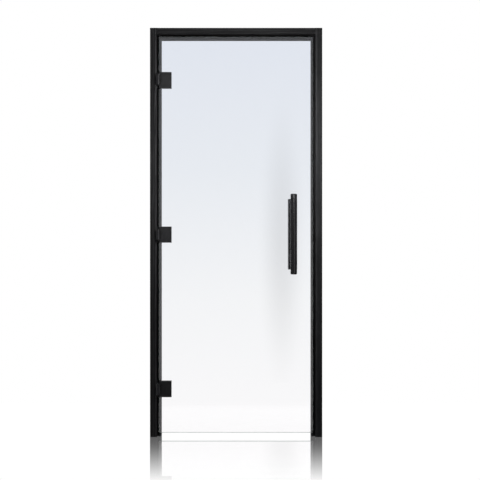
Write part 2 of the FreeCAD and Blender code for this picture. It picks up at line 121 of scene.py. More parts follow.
# A wave texture of scale 1 has rings a twentieth of a full turn apart.
WAVE_PERIOD = math.tau / 20


class DoorFinishes(bpy.types.PropertyGroup):
    """Colours and pattern sizes of the door's own surfaces."""

    timber_colour: bpy.props.StringProperty(
        name="Timber stain", description="sRGB hex colour of the stained wood", default="#212122")
    grain_pitch: bpy.props.FloatProperty(
        name="Grain pitch", description="Distance between two growth bands that show, in mm",
        default=5.0, min=0.5, max=30.0)
    grip_colour: bpy.props.StringProperty(
        name="Grip stain", description="sRGB hex colour of the grips under their lacquer",
        default="#18181a")
    # Painted highlight: the inner grip is the same black-stained wood, painted lighter for the light
    # its edge catches.
    inner_grip_colour: bpy.props.StringProperty(
        name="Inner grip, painted lighter", description="sRGB hex colour of the inner grip",
        default="#424245")
    metal_colour: bpy.props.StringProperty(
        name="Powder coat", description="sRGB hex colour of the hinges and posts", default="#232325")
    seal_colour: bpy.props.StringProperty(
        name="Seal", description="sRGB hex colour of the silicone seals", default="#28292b")
    # Painted reflection: the pane's four colours paint a pale sky reflected in it, blue at the top
    # and clear at the foot.
    glass_top: bpy.props.StringProperty(
        name="Glass at the top", description="sRGB hex colour of the pane at its top edge",
        default="#dfe4ee")
    glass_upper: bpy.props.StringProperty(
        name="Glass above the middle", description="sRGB hex colour of the pane at two thirds",
        default="#e6eaf0")
    glass_lower: bpy.props.StringProperty(
        name="Glass below the middle", description="sRGB hex colour of the pane at one third",
        default="#f3f4f6")
    glass_bottom: bpy.props.StringProperty(
        name="Glass at the bottom", description="sRGB hex colour of the pane at its bottom edge",
        default="#faf9fa")
    glass_edge: bpy.props.StringProperty(
        name="Ground edge", description="sRGB hex colour of the pane's ground edges",
        default="#5f7a72")


class DoorScrews(bpy.types.PropertyGroup):
    """Sizes of the wood screws that hold the hinge straps to the jamb."""

    head_radius: bpy.props.FloatProperty(
        name="Head radius", description="Radius of the pan head where it sits on the strap",
        default=4.2 * MM, unit="LENGTH")
    crown_radius: bpy.props.FloatProperty(
        name="Crown radius", description="Radius of the head's flat crown", default=3.0 * MM,
        unit="LENGTH")
    head_depth: bpy.props.FloatProperty(
        name="Head height", description="Height of the pan head", default=1.9 * MM,
        unit="LENGTH")
    recess: bpy.props.FloatProperty(
        name="Recess", description="Length of the cross recess", default=4.4 * MM, unit="LENGTH")
    pitch: bpy.props.FloatProperty(
        name="Screw pitch", description="Distance between two screws of a hinge",
        default=50.0 * MM, unit="LENGTH")
    count: bpy.props.IntProperty(
        name="Screws in a hinge", description="Screws in each hinge strap", default=2, min=1)
    strap_thickness: bpy.props.FloatProperty(
        name="Strap", description="Thickness of the hinge strap on the jamb", default=2.5 * MM,
        unit="LENGTH")


class DoorClampScrews(bpy.types.PropertyGroup):
    """Sizes of the cap screws that draw the clamp plates together."""

    head_depth: bpy.props.FloatProperty(
        name="Head height", description="Height of the cap, as deep as its seat in the plate",
        default=3.2 * MM, unit="LENGTH")
    taper: bpy.props.FloatProperty(
        name="Gap", description="Gap that shows around the cap in its seat", default=0.35 * MM,
        unit="LENGTH")
    shank_radius: bpy.props.FloatProperty(
        name="Shank radius", description="Radius of the shank", default=3.0 * MM, unit="LENGTH")
    socket_radius: bpy.props.FloatProperty(
        name="Socket radius", description="Half the hexagon socket's width over its corners",
        default=2.3 * MM, unit="LENGTH")
    socket_depth: bpy.props.FloatProperty(
        name="Socket depth", description="Depth of the hexagon socket", default=2.0 * MM,
        unit="LENGTH")
    count: bpy.props.IntProperty(
        name="Screws in a clamp", description="Screws in each clamp plate", default=2, min=1)


class DoorStudio(bpy.types.PropertyGroup):
    """Camera, lamps and floor."""

    camera_distance: bpy.props.FloatProperty(
        name="Camera distance", description="From the frame's front face to the camera",
        default=3.85, unit="LENGTH")
    camera_height: bpy.props.FloatProperty(
        name="Camera height", description="Height of the camera above the floor",
        default=0.915, unit="LENGTH")
    camera_x: bpy.props.FloatProperty(
        name="Camera place", description="Place of the camera across the door",
        default=0.418, unit="LENGTH")
    lens: bpy.props.FloatProperty(
        name="Lens", description="Focal length on a 36 mm wide sensor, in mm", default=62.2)
    ambient: bpy.props.FloatProperty(
        name="Room light", description="Strength of the even light from all around",
        default=0.12, min=0.0)
    front_wall: bpy.props.FloatProperty(
        name="Front wall", description="Brightness of the wall in front that satin surfaces show",
        default=0.28, min=0.0, max=1.0)
    side_walls: bpy.props.FloatProperty(
        name="Side walls", description="Brightness of the side walls that satin surfaces show",
        default=0.03, min=0.0, max=1.0)
    strip_light: bpy.props.FloatProperty(
        name="Strip light", description="Brightness of the tall light that draws a line on the grip",
        default=2.2, min=0.0)
    shade_x: bpy.props.FloatProperty(
        name="Shade place", description="Place of the backdrop's soft shade across the door",
        default=0.688, unit="LENGTH")
    shade_y: bpy.props.FloatProperty(
        name="Shade distance", description="How far behind the door the soft shade is",
        default=1.45, unit="LENGTH")
    shade_z: bpy.props.FloatProperty(
        name="Shade height", description="Height of the soft shade's middle", default=0.88,
        unit="LENGTH")
    shade_width: bpy.props.FloatProperty(
        name="Shade width", description="Width of the soft shade", default=0.34, unit="LENGTH")
    shade_height: bpy.props.FloatProperty(
        name="Shade length", description="Length of the soft shade", default=2.1, unit="LENGTH")
    shade_depth: bpy.props.FloatProperty(
        name="Shade depth", description="How much light the soft shade takes at its middle",
        default=0.17, min=0.0, max=1.0)
    key_glow: bpy.props.FloatProperty(
        name="Front panel", description="Brightness of the panel in front of the door",
        default=14.0, min=0.0)
    back_power: bpy.props.FloatProperty(
        name="Back softbox", description="Power of the softbox behind the door, in watts",
        default=45.0, min=0.0)
    side_power: bpy.props.FloatProperty(
        name="Side softboxes", description="Power of each softbox at the door's sides, in watts",
        default=60.0, min=0.0)
    mirror_reach: bpy.props.FloatProperty(
        name="Floor mirror reach", description="How far from the door its mirror image fades out",
        default=0.72, unit="LENGTH")
    mirror_strength: bpy.props.FloatProperty(
        name="Floor mirror", description="Share of the mirror image close to the door",
        default=0.9, min=0.0, max=1.0)


def linear(code):
    """An sRGB hex colour as a linear RGBA."""
    channels = [int(code[place:place + 2], 16) / 255 for place in (1, 3, 5)]
    turned = [c / 12.92 if c <= 0.04045 else ((c + 0.055) / 1.055) ** 2.4 for c in channels]
    return (*turned, 1.0)


def add(tree, kind, inputs=None, **settings):
    """Adds a node with its settings; an input is a value, or a socket that is linked to it."""
    made = tree.nodes.new(kind)
    for name, setting in settings.items():
        setattr(made, name, setting)
    for name, given in (inputs or {}).items():
        if isinstance(given, bpy.types.NodeSocket):
            tree.links.new(given, made.inputs[name])
        else:
            made.inputs[name].default_value = given
    return made


def new_material(name):
    made = bpy.data.materials.new(name)
    made.use_nodes = True
    made.node_tree.nodes.clear()
    return made, made.node_tree


def ramp(tree, factor, stops):
    """Colour ramp through (place, linear colour) stops."""
    made = add(tree, "ShaderNodeValToRGB", {"Fac": factor})
    points = made.color_ramp.elements
    while len(points) < len(stops):
        points.new(0.5)
    for point, (place, colour) in zip(points, stops):
        point.position = place
        point.color = colour
    return made.outputs["Color"]


def finish_shader(tree, inputs):
    shader = add(tree, "ShaderNodeBsdfPrincipled", inputs)
    add(tree, "ShaderNodeOutputMaterial", {"Surface": shader.outputs["BSDF"]})
    return shader


def dress(material, *names):
    """Gives a CAD node its material."""
    for name in names:
        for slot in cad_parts[name].material_slots:
            slot.material = material


def shade(colour, factor):
    return (colour[0] * factor, colour[1] * factor, colour[2] * factor, 1.0)


def painted_lip_highlight(tree, place, middles):
    """Painted highlight mask: 1 along the lips' inner edges, 0 away from them."""
    parts = add(tree, "ShaderNodeSeparateXYZ", {"Vector": place}).outputs
    masks = []
    for middle in middles:
        away = add(tree, "ShaderNodeMath", {0: parts["X"], 1: middle},
                   operation="SUBTRACT").outputs[0]
        far = add(tree, "ShaderNodeMath", {0: away}, operation="ABSOLUTE").outputs[0]
        masks.append(add(tree, "ShaderNodeMapRange", {
            "Value": far, "From Min": PAINTED_HIGHLIGHT_WIDTH[0], "From Max": PAINTED_HIGHLIGHT_WIDTH[1], "To Min": 1.0,
            "To Max": 0.0},
            interpolation_type="SMOOTHSTEP").outputs["Result"])
    both = add(tree, "ShaderNodeMath", {0: masks[0], 1: masks[1]}, operation="MAXIMUM")
    return both.outputs[0]


def stained_timber(name, colour, pitch, along, pith, sheen=0.06, rough_from=0.62, rough_to=0.45,
                   lips=()):
    """Softwood, planed, brushed and stained black.

    The early wood drinks the stain and goes darkest. The hard late wood stands a little proud,
    stays lighter and shines more, in lines a few millimetres apart that wander along the grain.
    Fine fibres run between them. Along is the axis of the grain, and pith is the middle of the
    growth rings, in metres. Lips are the places across the door of the painted highlight lines.
    Deep in the rebate the colour is painted darker, as painted shade.
    """
    material, tree = new_material(name)
    place = add(tree, "ShaderNodeTexCoord").outputs["Object"]
    stretch = [1.0, 1.0, 1.0]
    stretch["XYZ".index(along)] = GRAIN_STRETCH
    laid = add(tree, "ShaderNodeMapping", {
        "Vector": place, "Scale": stretch, "Location": [-at for at in pith]}).outputs["Vector"]
    rings = add(tree, "ShaderNodeTexWave", {
        "Vector": laid, "Scale": WAVE_PERIOD / (pitch * MM), "Distortion": 7.0, "Detail": 3.0,
        "Detail Scale": 1.2, "Detail Roughness": 0.6},
        wave_type="RINGS", rings_direction=along, wave_profile="SIN").outputs["Fac"]
    late = add(tree, "ShaderNodeMapRange", {
        "Value": rings, "From Min": 0.45, "From Max": 0.95},
        interpolation_type="SMOOTHSTEP").outputs["Result"]
    boards = add(tree, "ShaderNodeTexNoise", {
        "Vector": laid, "Scale": 1 / (14 * MM), "Detail": 2.0}).outputs["Fac"]
    fibres = add(tree, "ShaderNodeTexNoise", {
        "Vector": laid, "Scale": 1 / (1.1 * MM), "Detail": 3.0, "Roughness": 0.7}).outputs["Fac"]
    growth = add(tree, "ShaderNodeMix", {"Factor": 0.3, "A": boards, "B": late},
                 data_type="FLOAT").outputs["Result"]
    both = add(tree, "ShaderNodeMix", {"Factor": 0.4, "A": growth, "B": fibres},
               data_type="FLOAT").outputs["Result"]
    tone = ramp(tree, both, [
        (0.28, shade(colour, 0.4)), (0.46, shade(colour, 0.9)), (0.68, shade(colour, 2.0))])
    # Painted shade: the colour is painted darker deep in the rebate and in the piece's other
    # hollows.
    corner = add(tree, "ShaderNodeAmbientOcclusion", {"Distance": PAINTED_REBATE_SHADE_REACH},
                 only_local=True)
    deep = add(tree, "ShaderNodeMapRange", {
        "Value": corner.outputs["AO"], "From Min": 0.55, "From Max": 0.85, "To Min": 0.25,
        "To Max": 1.0}).outputs["Result"]
    # Painted highlight: the lips' inner edges are painted lighter.
    if lips:
        lighter = add(tree, "ShaderNodeMath", {0: painted_lip_highlight(tree, place, lips), 1: PAINTED_HIGHLIGHT_LIFT},
                      operation="MULTIPLY").outputs[0]
        deep = add(tree, "ShaderNodeMath", {0: deep, 1: lighter}, operation="ADD").outputs[0]
    painted_shading = add(tree, "ShaderNodeVectorMath", {0: tone, "Scale": deep}, operation="SCALE")
    rough = add(tree, "ShaderNodeMapRange", {
        "Value": late, "To Min": rough_from, "To Max": rough_to}).outputs["Result"]
    relief = add(tree, "ShaderNodeMix", {"Factor": 0.5, "A": late, "B": fibres},
                 data_type="FLOAT").outputs["Result"]
    bump = add(tree, "ShaderNodeBump", {
        "Strength": 0.7, "Distance": rough_to * 0.4 * MM, "Height": relief})
    finish_shader(tree, {
        "Base Color": painted_shading.outputs["Vector"], "Roughness": rough, "Specular IOR Level": sheen,
        "Normal": bump.outputs["Normal"]})
    return material


def powder_coat(name, colour):
    """Polyester powder coat on steel: a fine, even orange peel with a soft sheen.

    Corners and creases are painted dark as painted shade, so each hinge reads as separate pieces.
    """
    material, tree = new_material(name)
    place = add(tree, "ShaderNodeTexCoord").outputs["Object"]
    peel = add(tree, "ShaderNodeTexNoise", {
        "Vector": place, "Scale": 1 / (1.2 * MM), "Detail": 2.0}).outputs["Fac"]
    cloud = add(tree, "ShaderNodeTexNoise", {
        "Vector": place, "Scale": 1 / (18 * MM), "Detail": 2.0}).outputs["Fac"]
    tone = ramp(tree, cloud, [(0.35, shade(colour, 0.85)), (0.65, shade(colour, 1.2))])
    rough = add(tree, "ShaderNodeMapRange", {
        "Value": peel, "From Min": 0.3, "From Max": 0.7, "To Min": 0.3, "To Max": 0.4})
    bump = add(tree, "ShaderNodeBump", {"Strength": 0.3, "Distance": 0.08 * MM, "Height": peel})
    # Painted shade: corners and creases are painted darker.
    crease = add(tree, "ShaderNodeAmbientOcclusion", {"Distance": PAINTED_CREASE_SHADE_REACH}).outputs["AO"]
    lit_share = add(tree, "ShaderNodeMapRange", {
        "Value": crease, "From Min": 0.65, "From Max": 0.97, "To Min": 0.0, "To Max": 1.0})
    painted_shading = add(tree, "ShaderNodeVectorMath", {
        0: tone, "Scale": lit_share.outputs["Result"]}, operation="SCALE")
    finish_shader(tree, {
        "Base Color": painted_shading.outputs["Vector"], "Roughness": rough.outputs["Result"],
        "Specular IOR Level": 0.28, "Normal": bump.outputs["Normal"]})
    return material


def zinc_black(name):
    """Screws of steel, zinc plated and passivated black: a thin satin metal."""
    material, tree = new_material(name)
    place = add(tree, "ShaderNodeTexCoord").outputs["Object"]
    stain = add(tree, "ShaderNodeTexNoise", {
        "Vector": place, "Scale": 1 / (2.5 * MM), "Detail": 3.0}).outputs["Fac"]
    tone = ramp(tree, stain, [(0.35, linear(ZINC_DARK)), (0.65, linear(ZINC_LIGHT))])
    rough = add(tree, "ShaderNodeMapRange", {
        "Value": stain, "To Min": 0.3, "To Max": 0.5}).outputs["Result"]
    finish_shader(tree, {"Base Color": tone, "Metallic": 0.9, "Roughness": rough})
    return material


def silicone(name, colour):
    """Extruded silicone: dull and slightly dusty, with faint draw lines."""
    material, tree = new_material(name)
    place = add(tree, "ShaderNodeTexCoord").outputs["Object"]
    dust = add(tree, "ShaderNodeTexNoise", {
        "Vector": place, "Scale": 1 / (9 * MM), "Detail": 3.0}).outputs["Fac"]
    tone = ramp(tree, dust, [(0.35, shade(colour, 0.9)), (0.65, shade(colour, 1.1))])
    bump = add(tree, "ShaderNodeBump", {"Strength": 0.2, "Distance": 0.1 * MM, "Height": dust})
    finish_shader(tree, {
        "Base Color": tone, "Roughness": 0.7, "Specular IOR Level": 0.3,
        "Normal": bump.outputs["Normal"]})
    return material


def toughened_glass(name, tones, edge):
    """Clear float glass, toughened, with ground and arrissed edges.

    The pane's faint blue, fading towards the foot, is a painted reflection of a pale sky. The edges
    and bores, wherever the glass doesn't face front or back, are greener and dull from grinding.
    """
    material, tree = new_material(name)
    place = add(tree, "ShaderNodeTexCoord")
    height = add(tree, "ShaderNodeSeparateXYZ", {"Vector": place.outputs["Object"]}).outputs["Z"]
    # Painted reflection: a pale sky, blue at the top and fading to clear at the foot.
    share = add(tree, "ShaderNodeMapRange", {
        "Value": height, "From Min": PANE_LOW.z, "From Max": PANE_HIGH.z}).outputs["Result"]
    painted_sky_reflection = ramp(tree, share, [(at / (len(tones) - 1), tone) for at, tone in enumerate(tones)])
    facing = add(tree, "ShaderNodeSeparateXYZ", {"Vector": place.outputs["Normal"]}).outputs["Y"]
    front = add(tree, "ShaderNodeMath", {0: facing}, operation="ABSOLUTE").outputs[0]
    ground = add(tree, "ShaderNodeMath", {0: front, 1: 0.9}, operation="LESS_THAN").outputs[0]
    colour = add(tree, "ShaderNodeMix", {"Factor": ground, 6: painted_sky_reflection, 7: edge},
                 data_type="RGBA").outputs[2]
    rough = add(tree, "ShaderNodeMath", {0: ground, 1: 0.45}, operation="MULTIPLY").outputs[0]
    finish_shader(tree, {
        "Base Color": colour, "Roughness": rough, "IOR": 1.5, "Transmission Weight": 1.0,
        "Specular Tint": (1.0, 1.0, 1.0, 1.0)})
    return material


def finishes():
    return bpy.context.scene.door_finishes


class DOOR_OT_timber_frame(bpy.types.Operator):
    """Stains the jambs and the head black, with the grain along each piece"""

    bl_idname = "sauna_door.timber_frame"
    bl_label = "Timber frame"

    def execute(self, context):
        props = finishes()
        colour = linear(props.timber_colour)
        lip = PANE_LOW.x - HINGE_GAP
        lips = (lip - PAINTED_HIGHLIGHT_INSET, DOOR_WIDTH - lip + PAINTED_HIGHLIGHT_INSET)
        upright = stained_timber("black_stained_softwood", colour, props.grain_pitch, "Z",
                                 JAMB_PITH, lips=lips)
        level = stained_timber("black_stained_softwood_rail", colour, props.grain_pitch, "X",
                               RAIL_PITH)
        dress(upright, "hinge_jamb", "latch_jamb")
        dress(level, "head_rail")
        return {"FINISHED"}


class DOOR_OT_seals(bpy.types.Operator):
    """Gives the seals and gaskets their silicone and rubber"""

    bl_idname = "sauna_door.seals"
    bl_label = "Seals and gaskets"

    def execute(self, context):
        props = finishes()
        dress(silicone("grey_silicone", linear(props.seal_colour)),
              "hinge_side_seal", "latch_side_seal", "head_seal")
        rubber = silicone("black_gasket_rubber", linear(RUBBER_COLOUR))
        for where in HINGES:
            dress(rubber, f"{where}_hinge_outer_gasket", f"{where}_hinge_inner_gasket")
        return {"FINISHED"}


def node_group(name, inputs):
    """Geometry Nodes tree with its inputs, and the identifier of each input by its name."""
    tree = bpy.data.node_groups.new(name, "GeometryNodeTree")
    sockets = {}
    for label, kind in inputs + SHARED_INPUTS:
        made = tree.interface.new_socket(label, in_out="INPUT", socket_type=f"NodeSocket{kind}")
        sockets[label] = made.identifier
    tree.interface.new_socket("Geometry", in_out="OUTPUT", socket_type="NodeSocketGeometry")
    return tree, add(tree, "NodeGroupInput").outputs, sockets


def moved_up(tree, mesh, height):
    """Moves a mesh along its axis."""
    return add(tree, "GeometryNodeTransform", {
        "Geometry": mesh,
        "Translation": add(tree, "ShaderNodeCombineXYZ", {"Z": height}).outputs["Vector"]
    }).outputs["Geometry"]


def by_hinge(tree, given, screw, turn, material):
    """Turns a screw to its place and repeats it up each hinge, then up the door."""
    seated = add(tree, "GeometryNodeTransform", {
        "Geometry": screw, "Rotation": turn}).outputs["Geometry"]
    up_hinge = add(tree, "ShaderNodeCombineXYZ", {"Z": given["Screw Pitch"]}).outputs["Vector"]
    up_jamb = add(tree, "ShaderNodeCombineXYZ", {"Z": given["Hinge Pitch"]}).outputs["Vector"]
    row = add(tree, "GeometryNodeMeshLine", {
        "Count": given["Screw Count"], "Offset": up_hinge}).outputs["Mesh"]
    hinge = add(tree, "GeometryNodeInstanceOnPoints", {
        "Points": row, "Instance": seated}).outputs["Instances"]
    places = add(tree, "GeometryNodeMeshLine", {
        "Count": given["Hinge Count"], "Start Location": given["First Screw"],
        "Offset": up_jamb}).outputs["Mesh"]
    all_hinges = add(tree, "GeometryNodeInstanceOnPoints", {
        "Points": places, "Instance": hinge}).outputs["Instances"]
    real = add(tree, "GeometryNodeRealizeInstances", {"Geometry": all_hinges})
    painted = add(tree, "GeometryNodeSetMaterial", {
        "Geometry": real.outputs["Geometry"], "Material": material})
    add(tree, "NodeGroupOutput", {"Geometry": painted.outputs["Geometry"]})


def strap_screws(material):
    """Pan-head screws with a cross recess, facing along the door."""
    tree, given, sockets = node_group("strap_screws", (
        ("Head Radius", "Float"), ("Head Depth", "Float"), ("Crown Radius", "Float"),
        ("Recess", "Float")))
    head = add(tree, "GeometryNodeMeshCone", {
        "Vertices": 32, "Radius Top": given["Crown Radius"], "Radius Bottom": given["Head Radius"],
        "Depth": given["Head Depth"]}).outputs["Mesh"]
    wide = add(tree, "ShaderNodeCombineXYZ", {
        "X": given["Recess"], "Y": RECESS_WIDTH, "Z": given["Head Depth"]}).outputs["Vector"]
    tall = add(tree, "ShaderNodeCombineXYZ", {
        "X": RECESS_WIDTH, "Y": given["Recess"], "Z": given["Head Depth"]}).outputs["Vector"]
    bars = [add(tree, "GeometryNodeMeshCube", {"Size": size}).outputs["Mesh"]
            for size in (wide, tall)]
    cross = add(tree, "GeometryNodeMeshBoolean", {"Mesh 2": bars[0]}, operation="UNION")
    tree.links.new(bars[1], cross.inputs["Mesh 2"])
    cut = add(tree, "GeometryNodeMeshBoolean", {
        "Mesh 1": head, "Mesh 2": moved_up(tree, cross.outputs["Mesh"], given["Head Depth"])},
        operation="DIFFERENCE").outputs["Mesh"]
    by_hinge(tree, given, cut, (0.0, math.radians(90.0), 0.0), material)
    return tree, sockets


def clamp_screws(material):
    """Low cap screws with a hexagon socket, facing the inside of the room."""
    tree, given, sockets = node_group("clamp_screws", (
        ("Head Radius", "Float"), ("Head Depth", "Float"), ("Crown Radius", "Float"),
        ("Shank Radius", "Float"), ("Length", "Float"), ("Socket Radius", "Float"),
        ("Socket Depth", "Float")))
    under = add(tree, "ShaderNodeMath", {0: 0.0, 1: given["Head Depth"]}, operation="SUBTRACT")
    cap = add(tree, "GeometryNodeMeshCone", {
        "Vertices": 48, "Radius Top": given["Crown Radius"], "Radius Bottom": given["Head Radius"],
        "Depth": given["Head Depth"]}).outputs["Mesh"]
    shank = add(tree, "GeometryNodeMeshCylinder", {
        "Vertices": 32, "Radius": given["Shank Radius"], "Depth": given["Length"]}).outputs["Mesh"]
    half = add(tree, "ShaderNodeMath", {0: given["Length"], 1: -0.5}, operation="MULTIPLY")
    inside = add(tree, "ShaderNodeMath", {0: half.outputs[0], 1: SHANK_OVERLAP},
                 operation="SUBTRACT")
    screw = add(tree, "GeometryNodeMeshBoolean", {
        "Mesh 2": moved_up(tree, cap, under.outputs[0])}, operation="UNION")
    tree.links.new(moved_up(tree, shank, inside.outputs[0]), screw.inputs["Mesh 2"])
    double = add(tree, "ShaderNodeMath", {0: given["Socket Depth"], 1: 2.0}, operation="MULTIPLY")
    socket = add(tree, "GeometryNodeMeshCylinder", {
        "Vertices": 6, "Radius": given["Socket Radius"], "Depth": double.outputs[0]})
    cut = add(tree, "GeometryNodeMeshBoolean", {
        "Mesh 1": screw.outputs["Mesh"], "Mesh 2": socket.outputs["Mesh"]},
        operation="DIFFERENCE").outputs["Mesh"]
    by_hinge(tree, given, cut, (math.radians(-90.0), 0.0, 0.0), material)
    return tree, sockets


def made_by_nodes(name, tree, sockets, sizes, body):
    """Runs a Geometry Nodes tree once and keeps its result as a plain mesh on a body."""
    seed = bpy.data.objects.new(name + "_seed", bpy.data.meshes.new(name + "_seed"))
    bpy.context.scene.collection.objects.link(seed)
    modifier = seed.modifiers.new("nodes", "NODES")
    modifier.node_group = tree
    for label, size in sizes.items():
        modifier[sockets[label]] = size
    evaluated = seed.evaluated_get(bpy.context.evaluated_depsgraph_get())
    piece = bpy.data.objects.new(name, bpy.data.meshes.new_from_object(evaluated))
    bpy.context.scene.collection.objects.link(piece)
    bpy.data.objects.remove(seed)
    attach(piece, body)
    return piece


class DOOR_OT_hinges(bpy.types.Operator):
    """Powder coats the hinges and adds the screws of their straps and clamps"""

    bl_idname = "sauna_door.hinges"
    bl_label = "Hinges"

    def execute(self, context):
        props = context.scene.door_screws
        coat = powder_coat("black_powder_coated_steel", linear(finishes().metal_colour))
        for where in HINGES:
            for part in ("frame_leaf", "pin", "glass_plate", "clamp_plate"):
                dress(coat, f"{where}_hinge_{part}")
        leaves = [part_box(f"{where}_hinge_frame_leaf") for where in HINGES]
        middles = [(low.z + high.z) / 2 for low, high in leaves]
        first = (
            PANE_LOW.x - HINGE_GAP + props.strap_thickness,
            (JAMB_LOW.y + leaves[0][1].y) / 2,
            middles[0] - props.pitch * (props.count - 1) / 2)
        plating = zinc_black("black_zinc_plated_screws")
        tree, sockets = strap_screws(plating)
        made_by_nodes("hinge_strap_screws", tree, sockets, {
            "Head Radius": props.head_radius, "Head Depth": props.head_depth,
            "Crown Radius": props.crown_radius, "Recess": props.recess,
            "Screw Pitch": props.pitch, "Screw Count": props.count,
            "Hinge Pitch": middles[1] - middles[0], "Hinge Count": len(HINGES),
            "First Screw": first}, "frame")
        clamp = context.scene.door_clamp_screws
        nodes = [f"{where}_hinge_clamp_screws" for where in HINGES]
        low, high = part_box(nodes[0])
        radius = (high.x - low.x) / 2
        tree, sockets = clamp_screws(plating)
        piece = made_by_nodes("hinge_clamp_cap_screws", tree, sockets, {
            "Head Radius": radius, "Head Depth": clamp.head_depth,
            "Crown Radius": radius - clamp.taper, "Shank Radius": clamp.shank_radius,
            "Length": high.y - low.y - SHANK_OVERLAP, "Socket Radius": clamp.socket_radius,
            "Socket Depth": clamp.socket_depth, "Screw Pitch": high.z - low.z - 2 * radius,
            "Screw Count": clamp.count, "Hinge Pitch": middles[1] - middles[0],
            "Hinge Count": len(HINGES), "First Screw": (low.x + radius, high.y, low.z + radius)},
            "leaf")
        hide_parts(*nodes)
        return {"FINISHED"}


class DOOR_OT_glass_leaf(bpy.types.Operator):
    """Makes the pane toughened glass"""

    bl_idname = "sauna_door.glass_leaf"
    bl_label = "Glass leaf"

    def execute(self, context):
        props = finishes()
        tones = [linear(tone) for tone in (
            props.glass_bottom, props.glass_lower, props.glass_upper, props.glass_top)]
        dress(toughened_glass("toughened_clear_glass", tones, linear(props.glass_edge)),
              "glass_leaf")
        return {"FINISHED"}


class DOOR_OT_pull_handle(bpy.types.Operator):
    """Stains the two grips and coats their posts"""

    bl_idname = "sauna_door.pull_handle"
    bl_label = "Pull handle"

    def execute(self, context):
        props = finishes()
        grip = stained_timber(
            "black_lacquered_grip", linear(props.grip_colour), GRIP_GRAIN_PITCH, "Z",
            OUTER_GRIP_PITH, sheen=0.3, rough_from=0.2, rough_to=0.14)
        # Painted highlight: the inner grip's colour is painted lighter than the outer grip's, for
        # the light its edge catches.
        inner = stained_timber(
            "lacquered_grip_painted_lighter", linear(props.inner_grip_colour), GRIP_GRAIN_PITCH, "Z",
            INNER_GRIP_PITH, sheen=0.25, rough_from=0.2, rough_to=0.14)
        dress(grip, "outer_grip")
        dress(inner, "inner_grip")
        coat = powder_coat("black_powder_coated_posts", linear(props.metal_colour))
        dress(coat, "outer_posts", "inner_posts", "outer_washers", "inner_washers",
              "handle_studs")
        return {"FINISHED"}


def seen_rays(tree):
    """1 for what the camera sees straight on, in a reflection or through glass."""
    rays = add(tree, "ShaderNodeLightPath").outputs
    first = add(tree, "ShaderNodeMath", {0: rays["Is Camera Ray"], 1: rays["Is Glossy Ray"]},
                operation="MAXIMUM").outputs[0]
    any_of = add(tree, "ShaderNodeMath", {0: first, 1: rays["Is Transmission Ray"]},
                 operation="MAXIMUM").outputs[0]
    return add(tree, "ShaderNodeMath", {0: any_of, 1: rays["Diffuse Depth"]},
               operation="SUBTRACT", use_clamp=True).outputs[0]


def satin_rays(tree):
    """1 for what a satin surface reflects, 0 for all else, mirrors included."""
    rays = add(tree, "ShaderNodeLightPath").outputs
    return add(tree, "ShaderNodeMath", {0: rays["Is Glossy Ray"], 1: rays["Is Singular Ray"]},
               operation="SUBTRACT", use_clamp=True).outputs[0]


def studio_world(ambient, front, sides, strip):
    """White room; satin metal and wood show dark side walls and two tall lights in it.

    What such a surface shows through the pane is dark too where the ray leaves sideways or has
    crossed the pane twice, and the pane's own mirror image stays white.
    """
    world = bpy.data.worlds.new("white_studio")
    world.use_nodes = True
    tree = world.node_tree
    tree.nodes.clear()
    towards = add(tree, "ShaderNodeTexCoord").outputs["Generated"]
    across = add(tree, "ShaderNodeSeparateXYZ", {"Vector": towards}).outputs["X"]
    turned = add(tree, "ShaderNodeMapRange", {
        "Value": across, "From Min": -1.0, "From Max": 1.0}).outputs["Result"]
    levels = ((0.1, sides), (0.17, strip * 0.4), (0.27, front), (0.6, front), (0.66, strip),
              (0.74, strip * 0.9), (0.79, sides))
    walls = ramp(tree, turned, [(place, (level, level, level, 1.0)) for place, level in levels])
    rays = add(tree, "ShaderNodeLightPath").outputs
    aside = add(tree, "ShaderNodeMath", {0: across}, operation="ABSOLUTE").outputs[0]
    sideways = add(tree, "ShaderNodeMath", {0: aside, 1: SIDEWAYS},
                   operation="GREATER_THAN").outputs[0]
    twice = add(tree, "ShaderNodeMath", {0: rays["Transmission Depth"], 1: TWICE_THROUGH},
                operation="GREATER_THAN").outputs[0]
    either = add(tree, "ShaderNodeMath", {0: sideways, 1: twice}, operation="MAXIMUM").outputs[0]
    passed = add(tree, "ShaderNodeMath", {0: rays["Is Transmission Ray"], 1: rays["Glossy Depth"]},
                 operation="MULTIPLY").outputs[0]
    behind_glass = add(tree, "ShaderNodeMath", {0: passed, 1: either}, operation="MULTIPLY",
                       use_clamp=True).outputs[0]
    satin = add(tree, "ShaderNodeMath", {0: satin_rays(tree), 1: behind_glass},
                operation="MAXIMUM")
    gloss = add(tree, "ShaderNodeMix", {"Factor": satin.outputs[0], "A": 1.0, "B": walls},
                data_type="FLOAT").outputs["Result"]
    strength = add(tree, "ShaderNodeMix", {
        "Factor": seen_rays(tree), "A": ambient, "B": gloss}, data_type="FLOAT").outputs["Result"]
    light = add(tree, "ShaderNodeBackground", {
        "Color": (1.0, 1.0, 1.0, 1.0), "Strength": strength})
    add(tree, "ShaderNodeOutputWorld", {"Surface": light.outputs["Background"]})
    bpy.context.scene.world = world


def flat_sheet(name, corners):
    """Object with a single face between four corners."""
    mesh = bpy.data.meshes.new(name)
    mesh.from_pydata(corners, [], [(0, 1, 2, 3)])
    sheet = bpy.data.objects.new(name, mesh)
    bpy.context.scene.collection.objects.link(sheet)
    return sheet


def hide_from(made, *kinds):
    """Makes an object invisible to some kinds of rays."""
    for kind in kinds:
        setattr(made, f"visible_{kind}", False)


